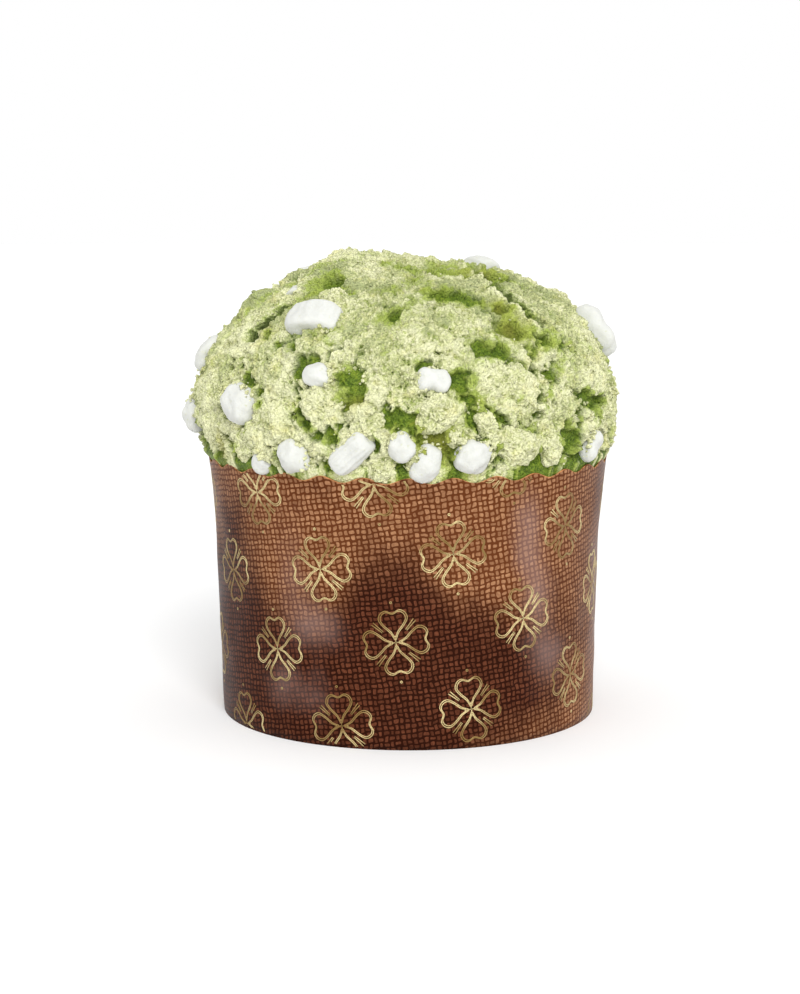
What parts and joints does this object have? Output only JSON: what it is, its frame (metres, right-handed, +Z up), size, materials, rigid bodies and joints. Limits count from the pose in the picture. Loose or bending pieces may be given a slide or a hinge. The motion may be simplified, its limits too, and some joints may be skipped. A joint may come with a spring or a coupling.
{
  "type": "panettone",
  "caption": "Domed panettone in a scalloped paper baking case, with a green crumble crust, loose lumps of crumble and white marshmallows pressed into the dome.",
  "frame": {"origin": "centre of the paper case's base, on the surface that it stands on", "axes": "+Z up through the dome; -Y is the front and +X is the right of it"},
  "size_m": [0.1863, 0.1857, 0.1986],
  "materials": {
    "case_paper": "satin laminated baking paper printed with a brown sackcloth weave",
    "gold_print": "thin metallic ink lines, slightly patchy",
    "crust": "matte open crumb, pale green over a brighter green",
    "crumble": "matte pale green crumble",
    "marshmallow": "soft powdery white"
  },
  "bodies": {
    "root": {"bread_loaf": "crust", "crumble_lump_01": "crumble", "crumble_lump_02": "crumble", "crumble_lump_03": "crumble", "crumble_lump_04": "crumble", "crumble_lump_05": "crumble", "crumble_lump_06": "crumble", "crumble_lump_07": "crumble", "crumble_lump_08": "crumble", "crumble_lump_09": "crumble", "crumble_lump_10": "crumble", "crumble_lump_11": "crumble", "crumble_lump_12": "crumble", "crumble_lump_13": "crumble", "crumble_lump_14": "crumble", "crumble_lump_15": "crumble", "crumble_lump_16": "crumble", "crumble_lump_17": "crumble", "crumble_lump_18": "crumble", "crumble_lump_19": "crumble", "marshmallow_01": "marshmallow", "marshmallow_02": "marshmallow", "marshmallow_03": "marshmallow", "marshmallow_04": "marshmallow", "marshmallow_05": "marshmallow", "marshmallow_06": "marshmallow", "marshmallow_07": "marshmallow", "marshmallow_08": "marshmallow", "marshmallow_09": "marshmallow", "marshmallow_10": "marshmallow", "marshmallow_11": "marshmallow", "marshmallow_12": "marshmallow", "marshmallow_13": "marshmallow", "marshmallow_14": "marshmallow", "marshmallow_15": "marshmallow", "marshmallow_16": "marshmallow", "marshmallow_17": "marshmallow", "marshmallow_18": "marshmallow", "marshmallow_19": "marshmallow", "marshmallow_20": "marshmallow", "marshmallow_21": "marshmallow", "marshmallow_22": "marshmallow", "marshmallow_23": "marshmallow", "marshmallow_24": "marshmallow", "marshmallow_25": "marshmallow", "marshmallow_26": "marshmallow", "paper_case_base": "case_paper", "paper_case_wall": "case_paper"}
  },
  "joints": []
}
